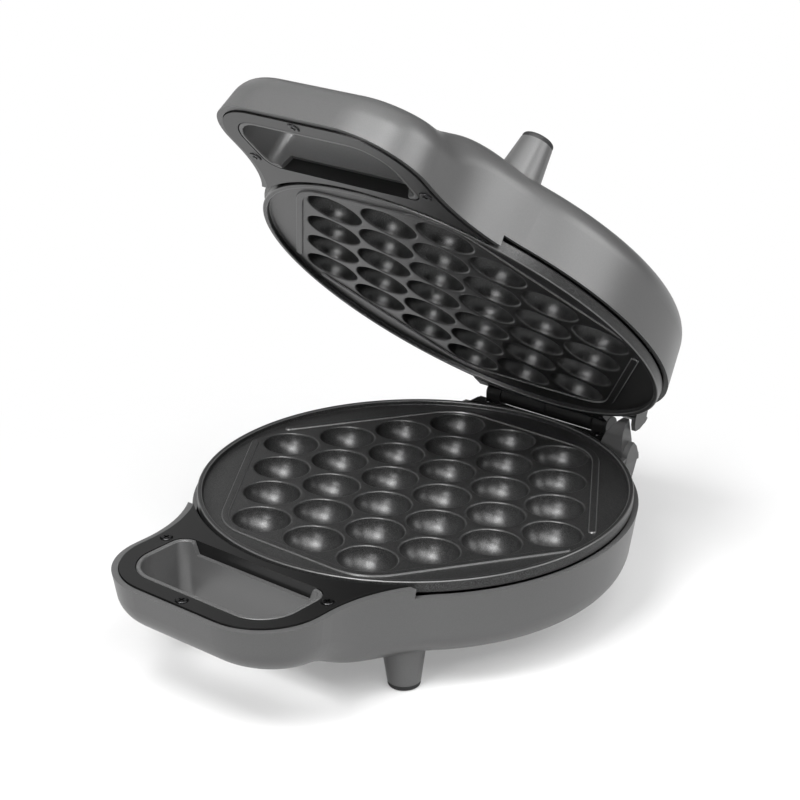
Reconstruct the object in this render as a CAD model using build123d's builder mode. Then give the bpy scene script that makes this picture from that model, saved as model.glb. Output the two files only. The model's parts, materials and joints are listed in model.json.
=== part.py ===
"""Bubble waffle maker: two hinged halves with cast plates and hand-hole handles.

Millimetres, +Z up.  The feet stand on z = 0, x = 0 is the symmetry plane and
y = 0 is the centre of the plates, with the hinge towards +Y.
The lid is drawn closed as a mirror of the base and then swung open.
"""
from build123d import *
import math
import os

os.makedirs("parts", exist_ok=True)

# Driving sizes: the baking pattern.
cavity_pitch = 32.0
cavity_row_pitch = 23.84
cavity_row_counts = [3, 4, 5, 6, 5, 4, 3]
cavity_half_x = 14.2
cavity_half_y = 12.35
cavity_rise = 0.6
plate_metal = 2.6
plate_web = 6.0
ridge_half_y = 89.3
ridge_apex = 104.0
ridge_width = 4.0
ridge_height = 0.8
heater_ring = 55.0
heater_radius = 3.2
plate_gap = 8.0

# Driving sizes: the closed height and the round body.
closed_height = 120.0
foot_height = 18.5
plate_radius = 102.7
lip_height = 2.5
lip_width = 2.4
plate_band = 5.3
shell_radius = 105.0
shell_rim_drop = 3.8
shell_wall = 2.5
wall_draft = 9.0
bottom_round = 15.0

# Driving sizes: handle and hand hole.
handle_reach = 159.6
handle_half_width = 55.7
handle_corner = 32.5
handle_blend = 68.0
handle_rim_rise = 5.1
handle_step_y = -82.0
handle_front_height = 20.3
handle_under_slope = 10.0
handle_bend_y = -127.0
window_front = 146.6
window_back = 111.6
window_half_width = 41.8
window_front_corner = 16.0
window_back_corner = 5.0
window_lining = 2.2
window_back_drop = 6.1
bezel_sheet = 2.5
bezel_inset = 2.5
bezel_panel = 1.5

# Driving sizes: rear tab, hinge and wiring tower.
tab_half_width = 54.4
tab_reach = 107.0
tab_blend = 12.0
hinge_y = 107.2
hinge_rise = 1.6
knuckle_radius = 4.8
pin_radius = 2.0
tube_end = 28.2
block_start = 28.8
block_end = 37.5
tower_radius = 10.6
tower_inner_end = 38.1
tower_outer_end = 51.4
open_angle = 45.0

# Driving sizes: feet, fixings and the parts under the plates.
pad_height = 2.5
foot_end_radius = 7.6
foot_draft = 8.0
pad_plug_radius = 3.0
bolt_radius = 2.0
bolt_head_radius = 3.8
screw_radius = 1.5
screw_head_radius = 2.7
hinge_screw_head = 2.0
bezel_post_radius = 3.9
post_height = 8.0
spacer_height = 4.0
shield_sheet = 0.8
cord_x = -20.0
cord_z = 36.0
cord_hole_radius = 5.0
bush_face = 106.2
bush_neck = 5.2
thermostat_seat = 42.0
leg_x = 9.6
leg_length = 26.0
shield_radius = 88.0
bezel_inner_radius = 104.9
hinge_front_cut = 88.0

# Clearances and fits.
running_gap = 0.05
groove_gap = 0.12
knuckle_gap = 0.45
part_gap = 0.4
window_gap = 0.3
plate_edge_gap = 0.7

# Heights that follow from the driving sizes.
mid_height = closed_height / 2
field_height = mid_height - plate_gap / 2
lip_top = field_height + lip_height
band_bottom = lip_top - plate_band
rim_height = field_height - shell_rim_drop
handle_rim_height = rim_height + handle_rim_rise
bezel_top = lip_top - 0.4
bezel_seat = bezel_top - bezel_sheet
floor_inside = foot_height + shell_wall
post_top = foot_height + post_height
shield_bottom = post_top + spacer_height
shield_top = shield_bottom + shield_sheet
hinge_z = mid_height + hinge_rise
bed_top = lip_top - 1.6
hinge_axis = Axis((0, hinge_y, hinge_z), (-1, 0, 0))

# Fixing positions.
bezel_screw_spots = [(-48.4, -115.7), (48.4, -115.7), (0.0, -153.6)]
hinge_screw_spots = [(-34.2, 100.1), (34.2, 100.1)]
plate_bolt_spots = [(-71.0, -42.0), (71.0, -42.0), (-71.0, 42.0), (71.0, 42.0)]
foot_spots = [(-51.8, -70.4), (51.8, -70.4), (-51.8, 70.4), (51.8, 70.4)]


def as_lid(shape):
    """Mirror a base-half shape to the lid half and swing it to the open rest pose."""
    closed = shape.mirror(Plane.XY.offset(mid_height))
    return closed.rotate(hinge_axis, open_angle)


def plan_outline(inset, with_handle=True):
    """Plan of the body: round drum, handle with blended roots and rear tab."""
    drum = shell_radius - inset
    half = handle_half_width - inset
    blend = handle_blend + inset
    reach = handle_reach - inset
    corner = handle_corner - inset
    blend_x = half + blend
    blend_y = -math.sqrt((drum + blend) ** 2 - blend_x ** 2)
    share = (drum - 0.03) / (drum + blend)
    root = (blend_x * share, blend_y * share)
    mid_turn = math.radians(180 - 0.5 * math.degrees(math.atan2(-blend_y, blend_x)))
    mid = (blend_x + blend * math.cos(mid_turn), blend_y + blend * math.sin(mid_turn))
    start = (half, blend_y)
    Circle(drum)
    if with_handle:
        with BuildLine() as handle_side:
            ThreePointArc(root, mid, start)
            Line(start, (half, -reach + corner))
            RadiusArc((half, -reach + corner), (half - corner, -reach), corner)
            Line((half - corner, -reach), (0, -reach))
            Line((0, -reach), (0, root[1]))
            Line((0, root[1]), root)
        make_face(handle_side.edges())
        mirror(about=Plane.YZ)
    tab_half = tab_half_width - inset
    tab_turn = tab_blend + inset
    tab_x = tab_half + tab_turn
    tab_y = math.sqrt((drum + tab_turn) ** 2 - tab_x ** 2)
    tab_share = (drum - 0.03) / (drum + tab_turn)
    tab_root = (tab_x * tab_share, tab_y * tab_share)
    tab_mid_turn = math.radians(180 + 0.5 * math.degrees(math.atan2(tab_y, tab_x)))
    tab_mid = (tab_x + tab_turn * math.cos(tab_mid_turn), tab_y + tab_turn * math.sin(tab_mid_turn))
    with BuildLine() as tab_side:
        ThreePointArc(tab_root, tab_mid, (tab_half, tab_y))
        Line((tab_half, tab_y), (tab_half, tab_reach - inset))
        Line((tab_half, tab_reach - inset), (0, tab_reach - inset))
        Line((0, tab_reach - inset), (0, tab_root[1]))
        Line((0, tab_root[1]), tab_root)
    make_face(tab_side.edges())
    mirror(about=Plane.YZ)


def window_plan(grow, mode=Mode.ADD):
    """Plan of the hand hole, grown outwards by the given amount."""
    front = window_front + grow
    back = window_back - grow
    half = window_half_width + grow
    wide = window_front_corner + grow
    tight = window_back_corner + grow
    with BuildLine() as window_edge:
        CenterArc((-half + wide, -front + wide), wide, 180, 90)
        Line((-half + wide, -front), (half - wide, -front))
        CenterArc((half - wide, -front + wide), wide, 270, 90)
        Line((half, -front + wide), (half, -back - tight))
        CenterArc((half - tight, -back - tight), tight, 0, 90)
        Line((half - tight, -back), (-half + tight, -back))
        CenterArc((-half + tight, -back - tight), tight, 90, 90)
        Line((-half, -back - tight), (-half, -front + wide))
    make_face(window_edge.edges(), mode=mode)


def underside_profile(lift):
    """Side profile of everything below the handle, which sweeps down to the flat floor."""
    slope = math.tan(math.radians(handle_under_slope))
    front_y = -handle_reach
    front_z = handle_rim_height - handle_front_height + lift
    floor_z = foot_height + lift
    bend_z = front_z - (handle_bend_y - front_y) * slope
    middle = (0.55 * handle_bend_y + 0.45 * handle_step_y, floor_z + 0.37 * (bend_z - floor_z))
    with BuildLine() as under_edge:
        Line((front_y - 40, -20), (front_y - 40, front_z + 40 * slope))
        Line((front_y - 40, front_z + 40 * slope), (handle_bend_y, bend_z))
        Spline((handle_bend_y, bend_z), middle, (handle_step_y, floor_z), tangents=[(1, -slope), (1, 0)])
        Line((handle_step_y, floor_z), (handle_step_y, -20))
        Line((handle_step_y, -20), (front_y - 40, -20))
    make_face(under_edge.edges())


def low_edges(builder, below):
    """Edges round the underside that are rounded over."""
    chosen = builder.edges().filter_by(lambda e: e.bounding_box().max.Z < below)
    return chosen.filter_by(
        lambda e: e.bounding_box().size.X < 1.9 * abs(e.center().X) + 90 or abs(e.center().Y) > 95
    )


def shell_volume(inset):
    """Solid form of the shell, drawn in by the given amount on every side."""
    with BuildPart() as form:
        with BuildSketch(Plane.XY.offset(rim_height)):
            plan_outline(inset)
        extrude(amount=-(rim_height - foot_height - inset), taper=wall_draft)
        with BuildSketch(Plane.YZ):
            underside_profile(inset)
        extrude(amount=150, both=True, mode=Mode.SUBTRACT)
        fillet(low_edges(form, rim_height - 2), bottom_round - inset)
    return form.part


shell_outside = shell_volume(0.0)
shell_hollow = shell_volume(shell_wall)

# The handle keeps a raised rim outside the round plate and in front of the step.
with BuildPart() as handle_rim:
    with BuildSketch(Plane.XY.offset(rim_height)):
        plan_outline(0.0)
    extrude(amount=handle_rim_rise, taper=-wall_draft)
    with BuildSketch(Plane.XY.offset(rim_height)):
        Circle(shell_radius - 0.6)
        with Locations((0, handle_step_y + 150)):
            Rectangle(300, 300)
    extrude(amount=handle_rim_rise, mode=Mode.SUBTRACT)
    with BuildSketch(Plane.XY.offset(bezel_seat)):
        plan_outline(bezel_inset - part_gap)
    extrude(amount=10, mode=Mode.SUBTRACT)
    with BuildSketch(Plane.XY.offset(rim_height)):
        plan_outline(bezel_inset + 1.6)
    extrude(amount=10, mode=Mode.SUBTRACT)

lining_top = bezel_top
back_wall_top = bezel_top - window_back_drop

# Inner space of the shell, with the hand-hole lining and every screw post left standing.
with BuildPart() as shell_inside:
    add(shell_hollow)
    with BuildSketch(Plane.XY.offset(2.0)):
        window_plan(window_lining)
        with Locations(*hinge_screw_spots):
            Circle(4.2)
        with Locations(*bezel_screw_spots):
            Circle(bezel_post_radius)
    extrude(amount=rim_height, mode=Mode.SUBTRACT)
    with BuildSketch(Plane.XY.offset(2.0)):
        with Locations(*plate_bolt_spots):
            Circle(6.0)
    extrude(amount=post_top - 2.0, mode=Mode.SUBTRACT)


# Rim round the hand hole, which stands flush with the bezel and has a rounded top.
with BuildPart() as lining_rim:
    with BuildSketch(Plane.XY.offset(rim_height - 1.0)):
        window_plan(window_lining)
        window_plan(0.0, mode=Mode.SUBTRACT)
    extrude(amount=lining_top - rim_height + 1.0)
    fillet(lining_rim.edges().group_by(Axis.Z)[-1], 0.6)


def build_half_shell():
    """One pressed shell half with its feet, hollow, rim, lining and posts."""
    with BuildPart() as half:
        add(shell_outside)
        with BuildSketch(Plane.XY.offset(pad_height)):
            with Locations(*foot_spots):
                Circle(foot_end_radius)
        extrude(amount=foot_height + 8 - pad_height, taper=-foot_draft)
        add(shell_inside.part, mode=Mode.SUBTRACT)
        with BuildSketch(Plane.XY.offset(pad_height + 3.5)):
            with Locations(*foot_spots):
                Circle(foot_end_radius - 2.6)
        extrude(amount=30, mode=Mode.SUBTRACT)
        with BuildSketch(Plane.XY.offset(pad_height)):
            with Locations(*foot_spots):
                Circle(pad_plug_radius)
        extrude(amount=3.5, mode=Mode.SUBTRACT)
        add(handle_rim.part)
        with BuildSketch(Plane.XY.offset(rim_height - 1.0)):
            with Locations(*bezel_screw_spots):
                Circle(bezel_post_radius)
        extrude(amount=bezel_seat - rim_height + 1.0)
        add(lining_rim.part)
        with BuildSketch(Plane.XY):
            window_plan(0.0)
        extrude(amount=lining_top + 2, mode=Mode.SUBTRACT)
        with BuildSketch(Plane.XZ.offset(window_back - window_lining - 0.2)):
            with BuildLine() as notch_edge:
                wide = window_half_width - window_back_corner
                narrow = wide - 3.0
                Polyline((-wide, lining_top + 1), (wide, lining_top + 1), (narrow, back_wall_top))
                Polyline((narrow, back_wall_top), (-narrow, back_wall_top), (-wide, lining_top + 1))
            make_face(notch_edge.edges())
        extrude(amount=window_lining + 0.7, mode=Mode.SUBTRACT)
        with BuildSketch(Plane.XY):
            with Locations(*plate_bolt_spots):
                Circle(bolt_radius + 0.25)
        extrude(amount=40, mode=Mode.SUBTRACT)
        with BuildSketch(Plane.XY):
            with Locations(*plate_bolt_spots):
                Circle(bolt_head_radius + 0.4)
        extrude(amount=foot_height + 4.0, mode=Mode.SUBTRACT)
        with BuildSketch(Plane.XY.offset(rim_height)):
            with Locations(*hinge_screw_spots):
                Circle(screw_radius)
        extrude(amount=-10, mode=Mode.SUBTRACT)
        with BuildSketch(Plane.XY.offset(bezel_seat)):
            with Locations(*bezel_screw_spots):
                Circle(screw_radius)
        extrude(amount=-10, mode=Mode.SUBTRACT)
    return half.part


half_shell = build_half_shell()

# Base shell: the half shell with its cord hole, ear and the tower that shields the wiring.
def ear_profile():
    """Side profile of the rounded ear beside the wiring tower."""
    with BuildLine() as ear_edge:
        Polyline((102.4, 59.0), (104.9, 56.4), (tab_reach, 51.0), (tab_reach, 49.0))
        Polyline((tab_reach, 49.0), (95.6, 49.0), (97.3, 54.0), (99.8, 57.2), (102.4, 59.0))
    make_face(ear_edge.edges())


def tower_profile(inset):
    """Side profile of the tower, its crown curved round the hinge axis."""
    radius = tower_radius - inset
    front = hinge_y - radius
    crown_y = 102.0 + inset
    crown_z = hinge_z + math.sqrt(radius ** 2 - (hinge_y - crown_y) ** 2)
    mid_y = hinge_y - radius * math.cos(math.radians(31))
    mid_z = hinge_z + radius * math.sin(math.radians(31))
    foot = 48.0 - inset
    with BuildLine() as tower_edge:
        Line((front, foot), (front, hinge_z))
        ThreePointArc((front, hinge_z), (mid_y, mid_z), (crown_y, crown_z))
        Line((crown_y, crown_z), (104.8 + inset, 59.0))
        Line((104.8 + inset, 59.0), (105.2 + inset, foot))
        Line((105.2 + inset, foot), (front, foot))
    make_face(tower_edge.edges())


def tower_front(inset):
    """Front profile of the tower with its swept inner corner."""
    start = tower_inner_end + inset
    end = tower_outer_end - inset
    top = hinge_z + tower_radius + 1.0 - inset
    with BuildLine() as front_edge:
        Line((start, 45), (start, 54.0))
        ThreePointArc((start, 54.0), (start + 4.6, 65.0 - inset), (end, top))
        Line((end, top), (end, 45))
        Line((end, 45), (start, 45))
    make_face(front_edge.edges())


with BuildPart() as tower_outside:
    with BuildSketch(Plane.YZ.offset(tower_inner_end - 1)):
        tower_profile(0.0)
    extrude(amount=tower_outer_end - tower_inner_end + 1)
    with BuildSketch(Plane.XZ.offset(-120)):
        tower_front(0.0)
    extrude(amount=40, mode=Mode.INTERSECT)

with BuildPart() as tower_hollow:
    with BuildSketch(Plane.YZ.offset(tower_inner_end - 1)):
        tower_profile(2.0)
    extrude(amount=tower_outer_end - tower_inner_end + 1)
    with BuildSketch(Plane.XZ.offset(-120)):
        tower_front(2.0)
    extrude(amount=40, mode=Mode.INTERSECT)

with BuildPart() as base_shell:
    add(half_shell)
    with BuildSketch(Plane.YZ.offset(tower_outer_end - 0.4)):
        ear_profile()
    extrude(amount=tab_half_width - tower_outer_end + 0.4)
    add(tower_outside.part)
    add(tower_hollow.part, mode=Mode.SUBTRACT)
    with BuildSketch(Plane.XZ.offset(-bush_face)):
        with Locations((cord_x, cord_z)):
            Circle(cord_hole_radius + 4.0)
    extrude(amount=bush_neck)
    with BuildSketch(Plane.XZ.offset(-bush_face)):
        with Locations((cord_x, cord_z)):
            Circle(cord_hole_radius)
    extrude(amount=14, mode=Mode.SUBTRACT)

with BuildPart() as lid_shell_flat:
    add(half_shell)
    with BuildSketch(Plane.YZ.offset(tower_outer_end + 0.6)):
        ear_profile()
    extrude(amount=tab_half_width - tower_outer_end - 0.6)

# Cast plate: flange with raised lip, bead ridge, thirty cavities, ribs and bosses.
cavity_spots = []
for row, count in enumerate(cavity_row_counts):
    row_y = (row - (len(cavity_row_counts) - 1) / 2) * cavity_row_pitch
    for place in range(count):
        cavity_spots.append(((place - (count - 1) / 2) * cavity_pitch, row_y))

web_bottom = field_height - plate_web
heater_z = field_height - 18.3
boss_end = shield_top


def ellipsoid(half_x, half_y, top):
    """Body of revolution of a half ellipse about the row direction, cut off at a height."""
    with BuildPart() as solid:
        with BuildSketch(Plane.XY):
            Ellipse(half_x, half_y)
            with Locations((0, -half_y)):
                Rectangle(2 * half_x, 2 * half_y, mode=Mode.SUBTRACT)
        revolve(axis=Axis.X)
        with BuildSketch(Plane.XY.offset(top)):
            Rectangle(4 * half_x, 4 * half_y)
        extrude(amount=2 * half_y, mode=Mode.SUBTRACT)
    return solid.part


dome = ellipsoid(cavity_half_x + plate_metal, cavity_half_y + plate_metal, 1.0 - plate_web)
cavity = ellipsoid(cavity_half_x, cavity_half_y, 2.0)


def tube_ring(radius):
    """Open ring of round tube with two straight legs towards the hinge."""
    with BuildPart() as ring:
        with BuildSketch(Plane.XZ):
            with Locations((heater_ring, heater_z)):
                Circle(radius)
        revolve(axis=Axis.Z)
        with BuildSketch(Plane.XY.offset(heater_z - 10)):
            with Locations((0, heater_ring)):
                Rectangle(2 * leg_x, 20)
        extrude(amount=20, mode=Mode.SUBTRACT)
        with BuildSketch(Plane.XZ.offset(-heater_ring + 3)):
            with Locations((-leg_x, heater_z), (leg_x, heater_z)):
                Circle(radius)
        extrude(amount=-leg_length)
    return ring.part


def ridge_plan(inset):
    """Six-sided outline of the bead ridge with rounded front and back corners."""
    reach_y = ridge_half_y - inset
    lean = math.radians(56)
    apex = ridge_apex - inset / math.sin(lean)
    corner = apex - reach_y / math.tan(lean)
    points = [(apex, 0), (corner, reach_y), (-corner, reach_y), (-apex, 0)]
    points += [(-corner, -reach_y), (corner, -reach_y)]
    with BuildLine() as ridge_edge:
        Polyline(*points, close=True)
    return make_face(ridge_edge.edges(), mode=Mode.PRIVATE)


with BuildPart() as plate_form:
    with BuildSketch(Plane.XY.offset(band_bottom)):
        Circle(plate_radius)
    extrude(amount=plate_band)
    with BuildSketch(Plane.XY.offset(field_height)):
        Circle(plate_radius - lip_width)
    extrude(amount=lip_height + 1, mode=Mode.SUBTRACT)
    with BuildSketch(Plane.XY.offset(web_bottom)):
        Circle(plate_radius - 4.0)
    extrude(amount=band_bottom - web_bottom + 0.5)
    with BuildSketch(Plane.XY.offset(field_height)):
        add(ridge_plan(0.0))
        add(ridge_plan(ridge_width), mode=Mode.SUBTRACT)
        with BuildSketch(mode=Mode.INTERSECT):
            Circle(plate_radius - lip_width + 0.2)
    extrude(amount=ridge_height)
    with BuildSketch(Plane.XY.offset(web_bottom)):
        Circle(heater_ring + 6.5)
        Circle(heater_ring - 6.5, mode=Mode.SUBTRACT)
    extrude(amount=heater_z - web_bottom)
    with BuildSketch(Plane.XY.offset(boss_end)):
        with Locations(*plate_bolt_spots):
            Circle(4.6)
    extrude(amount=web_bottom - boss_end + 0.5)
    with BuildSketch(Plane.XY.offset(thermostat_seat)):
        Circle(8.5)
    extrude(amount=web_bottom - thermostat_seat + 0.5)
    with Locations(*[(x, y, field_height) for x, y in cavity_spots]):
        add(dome)
    with Locations(*[(x, y, field_height + cavity_rise) for x, y in cavity_spots]):
        add(cavity, mode=Mode.SUBTRACT)
    with BuildSketch(Plane.XY.offset(boss_end)):
        with Locations(*plate_bolt_spots):
            Circle(bolt_radius)
    extrude(amount=12.0, mode=Mode.SUBTRACT)
    add(tube_ring(heater_radius + groove_gap), mode=Mode.SUBTRACT)

# Sheathed heating element in the groove, with the cold pins in its two ends.
with BuildPart() as heater_form:
    add(tube_ring(heater_radius))
    with BuildSketch(Plane.XZ.offset(-heater_ring + 3 - leg_length)):
        with Locations((-leg_x, heater_z), (leg_x, heater_z)):
            Circle(1.2)
    extrude(amount=-7.0)

# Reflector tray under the heating element.
with BuildPart() as shield_form:
    with BuildSketch(Plane.XY.offset(shield_bottom)):
        Circle(shield_radius)
    extrude(amount=6.0, taper=-20)
    with BuildSketch(Plane.XY.offset(shield_top)):
        Circle(shield_radius - shield_sheet)
    extrude(amount=6.0, taper=-20, mode=Mode.SUBTRACT)
    with BuildSketch(Plane.XY.offset(shield_bottom)):
        Circle(11.0)
        with Locations(*plate_bolt_spots):
            Circle(bolt_radius + 0.25)
    extrude(amount=5.0, mode=Mode.SUBTRACT)

with BuildPart() as spacer_form:
    with BuildSketch(Plane.XY.offset(post_top)):
        with Locations(*plate_bolt_spots):
            Circle(5.2)
            Circle(bolt_radius + 0.25, mode=Mode.SUBTRACT)
    extrude(amount=spacer_height)

with BuildPart() as bolt_form:
    with BuildSketch(Plane.XY.offset(foot_height + 4.0)):
        with Locations(*plate_bolt_spots):
            Circle(bolt_head_radius)
    extrude(amount=-3.0)
    with BuildSketch(Plane.XY.offset(foot_height + 4.0)):
        with Locations(*plate_bolt_spots):
            Circle(bolt_radius)
    extrude(amount=boss_end + 10.0 - foot_height - 4.0)
    with BuildSketch(Plane.XY.offset(foot_height + 1.0)):
        with Locations(*plate_bolt_spots):
            Rectangle(5.2, 1.1)
            Rectangle(1.1, 5.2)
    extrude(amount=1.2, mode=Mode.SUBTRACT)

with BuildPart() as pad_form:
    with BuildSketch(Plane.XY):
        with Locations(*foot_spots):
            Circle(foot_end_radius - 0.2)
    extrude(amount=pad_height)
    fillet(pad_form.edges().group_by(Axis.Z)[0], 1.2)
    with BuildSketch(Plane.XY.offset(pad_height)):
        with Locations(*foot_spots):
            Circle(pad_plug_radius)
    extrude(amount=3.0)

# Bezel over the handle with the panel behind the hand hole and the curtain along the plate.
with BuildPart() as bezel_form:
    with BuildSketch(Plane.XY.offset(bezel_seat)):
        plan_outline(bezel_inset)
        Circle(bezel_inner_radius, mode=Mode.SUBTRACT)
        with Locations((0, 100)):
            Rectangle(300, 200, mode=Mode.SUBTRACT)
    extrude(amount=bezel_sheet)
    with BuildSketch(Plane.XY.offset(rim_height + 0.4)):
        Circle(bezel_inner_radius + 1.6)
        Circle(bezel_inner_radius, mode=Mode.SUBTRACT)
        with Locations((0, 100)):
            Rectangle(300, 369, mode=Mode.SUBTRACT)
        with Locations((60, -100), (-60, -100)):
            Rectangle(22, 60, mode=Mode.SUBTRACT)
    extrude(amount=bezel_seat - rim_height)
    with BuildSketch(Plane.XY.offset(back_wall_top - 1.5)):
        with Locations((0, window_gap - window_back + window_lining + bezel_panel / 2)):
            Rectangle(2 * (window_half_width - 2.8), bezel_panel)
    extrude(amount=bezel_seat - back_wall_top + 2)
    with BuildSketch(Plane.XY.offset(bezel_seat - 1)):
        window_plan(window_lining + window_gap)
    extrude(amount=10, mode=Mode.SUBTRACT)
    with BuildSketch(Plane.XY.offset(bezel_seat - 1)):
        with Locations(*bezel_screw_spots):
            Circle(screw_radius + 0.2)
    extrude(amount=10, mode=Mode.SUBTRACT)
    with BuildSketch(Plane.XY.offset(bezel_top - 1.1)):
        with Locations(*bezel_screw_spots):
            Circle(screw_head_radius + 0.3)
    extrude(amount=10, mode=Mode.SUBTRACT)


def make_screws(spots, head_radius, head_seat, tip):
    """Pan-head screws with a cross recess, standing in their posts."""
    with BuildPart() as screws:
        with BuildSketch(Plane.XY.offset(head_seat)):
            with Locations(*spots):
                Circle(head_radius)
        extrude(amount=1.6)
        fillet(screws.edges().group_by(Axis.Z)[-1], 0.6)
        with BuildSketch(Plane.XY.offset(head_seat + 0.8)):
            with Locations(*spots):
                Rectangle(1.2 * head_radius, 0.3 * head_radius)
                Rectangle(0.3 * head_radius, 1.2 * head_radius)
        extrude(amount=2, mode=Mode.SUBTRACT)
        with BuildSketch(Plane.XY.offset(tip)):
            with Locations(*spots):
                Circle(screw_radius)
        extrude(amount=head_seat - tip)
    return screws.part


bezel_screws_form = make_screws(bezel_screw_spots, screw_head_radius, bezel_top - 1.1, bezel_seat - 9.0)
hinge_screws_form = make_screws(hinge_screw_spots, hinge_screw_head, lip_top + 0.2 - 1.1, rim_height - 9.0)


def hinge_plate(front_limit):
    """Bridge plate on the rear tab: low bed, raised front strip, sloped far end."""
    with BuildPart() as bridge:
        with BuildSketch(Plane.XZ.offset(-hinge_front_cut)):
            with BuildLine() as bridge_edge:
                Polyline((block_end + 0.1, rim_height), (block_end + 0.1, lip_top + 0.2))
                Line((block_end + 0.1, lip_top + 0.2), (-42.0, lip_top + 0.2))
                Line((-42.0, lip_top + 0.2), (-50.5, rim_height))
                Line((-50.5, rim_height), (block_end + 0.1, rim_height))
            make_face(bridge_edge.edges())
        extrude(amount=-(tab_reach - part_gap - hinge_front_cut))
        with BuildSketch(Plane.XY.offset(rim_height)):
            Circle(plate_radius + plate_edge_gap)
        extrude(amount=20, mode=Mode.SUBTRACT)
        with BuildSketch(Plane.XY.offset(bed_top)):
            with Locations((-10, front_limit + 25)):
                Rectangle(120, 50)
        extrude(amount=20, mode=Mode.SUBTRACT)
        with BuildSketch(Plane.XY.offset(rim_height)):
            with Locations(*hinge_screw_spots):
                Circle(screw_radius + 0.2)
        extrude(amount=20, mode=Mode.SUBTRACT)
        with BuildSketch(Plane.XY.offset(lip_top + 0.2 - 1.1)):
            with Locations(*hinge_screw_spots):
                Circle(hinge_screw_head + 0.2)
        extrude(amount=20, mode=Mode.SUBTRACT)
    return bridge.part


knuckle_front = hinge_y - knuckle_radius

# Base bracket: bridge plate with the two outer knuckle blocks.
with BuildPart() as base_bracket:
    add(hinge_plate(knuckle_front - 0.8))
    with BuildSketch(Plane.YZ.offset(-tube_end - part_gap)):
        with Locations((hinge_y, hinge_z)):
            Circle(knuckle_radius + knuckle_gap)
    extrude(amount=2 * (tube_end + part_gap), mode=Mode.SUBTRACT)
    for side in (-1, 1):
        start = block_start if side > 0 else -block_end
        with BuildSketch(Plane.YZ.offset(start)):
            with BuildLine() as block_edge:
                CenterArc((hinge_y, hinge_z), knuckle_radius, 0, 180)
                Line((knuckle_front, hinge_z), (knuckle_front, bed_top - 1.0))
                Line((knuckle_front, bed_top - 1.0), (hinge_y + knuckle_radius, bed_top - 1.0))
                Line((hinge_y + knuckle_radius, bed_top - 1.0), (hinge_y + knuckle_radius, hinge_z))
            make_face(block_edge.edges())
        extrude(amount=block_end - block_start)
    with BuildSketch(Plane.YZ.offset(-60)):
        with Locations((hinge_y, hinge_z)):
            Circle(pin_radius)
    extrude(amount=120, mode=Mode.SUBTRACT)

# Lid leaf, drawn flat like the base: bridge plate with the two long tubes.
flat_axis_z = closed_height - hinge_z
with BuildPart() as lid_leaf_flat:
    add(hinge_plate(knuckle_front - 0.8))
    for start in (-tube_end, 0.3):
        with BuildSketch(Plane.YZ.offset(start)):
            with BuildLine() as tube_edge:
                CenterArc((hinge_y, flat_axis_z), knuckle_radius, 0, 180)
                Line((knuckle_front, flat_axis_z), (knuckle_front, bed_top - 1.0))
                Line((knuckle_front, bed_top - 1.0), (tab_reach - part_gap, bed_top - 1.0))
                Line((tab_reach - part_gap, bed_top - 1.0), (hinge_y + knuckle_radius, flat_axis_z))
            make_face(tube_edge.edges())
        extrude(amount=tube_end - 0.3)
    with BuildSketch(Plane.XY.offset(rim_height)):
        Circle(plate_radius + plate_edge_gap)
    extrude(amount=lip_top + part_gap - rim_height, mode=Mode.SUBTRACT)
    with BuildSketch(Plane.YZ.offset(-60)):
        with Locations((hinge_y, flat_axis_z)):
            Circle(pin_radius + running_gap)
    extrude(amount=120, mode=Mode.SUBTRACT)
    for start in (-block_end - part_gap, block_start - part_gap):
        with BuildSketch(Plane.YZ.offset(start)):
            with Locations((hinge_y, flat_axis_z)):
                Circle(knuckle_radius + knuckle_gap)
        extrude(amount=block_end - block_start + 2 * part_gap, mode=Mode.SUBTRACT)

with BuildPart() as hinge_pin:
    with BuildSketch(Plane.YZ.offset(-block_end)):
        with Locations((hinge_y, hinge_z)):
            Circle(pin_radius)
    extrude(amount=2 * block_end)

# Cord hole bush, terminal block and thermostat.
with BuildPart() as cord_bush:
    with BuildSketch(Plane.XZ.offset(-bush_face)):
        with Locations((cord_x, cord_z)):
            Circle(cord_hole_radius + 2.5)
    extrude(amount=-2.0)
    with BuildSketch(Plane.XZ.offset(-bush_face)):
        with Locations((cord_x, cord_z)):
            Circle(cord_hole_radius)
    extrude(amount=bush_neck)
    with BuildSketch(Plane.XZ.offset(-bush_face - 2.0)):
        with Locations((cord_x, cord_z)):
            Circle(3.4)
    extrude(amount=8.0, mode=Mode.SUBTRACT)

with BuildPart() as terminal_block:
    with BuildSketch(Plane.XY.offset(floor_inside)):
        with Locations((cord_x, 84)):
            Rectangle(26, 11)
    extrude(amount=7.0)
    with BuildSketch(Plane.XZ.offset(-100)):
        with Locations(*[(cord_x + shift, floor_inside + 3.5) for shift in (-8, 0, 8)]):
            Circle(1.6)
    extrude(amount=40, mode=Mode.SUBTRACT)

with BuildPart() as thermostat:
    with BuildSketch(Plane.XY.offset(thermostat_seat)):
        Circle(7.5)
    extrude(amount=-6.0)
    with BuildSketch(Plane.XY.offset(thermostat_seat - 6.0)):
        with Locations((-4, 0), (4, 0)):
            Rectangle(0.8, 5.0)
    extrude(amount=-5.0)

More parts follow.
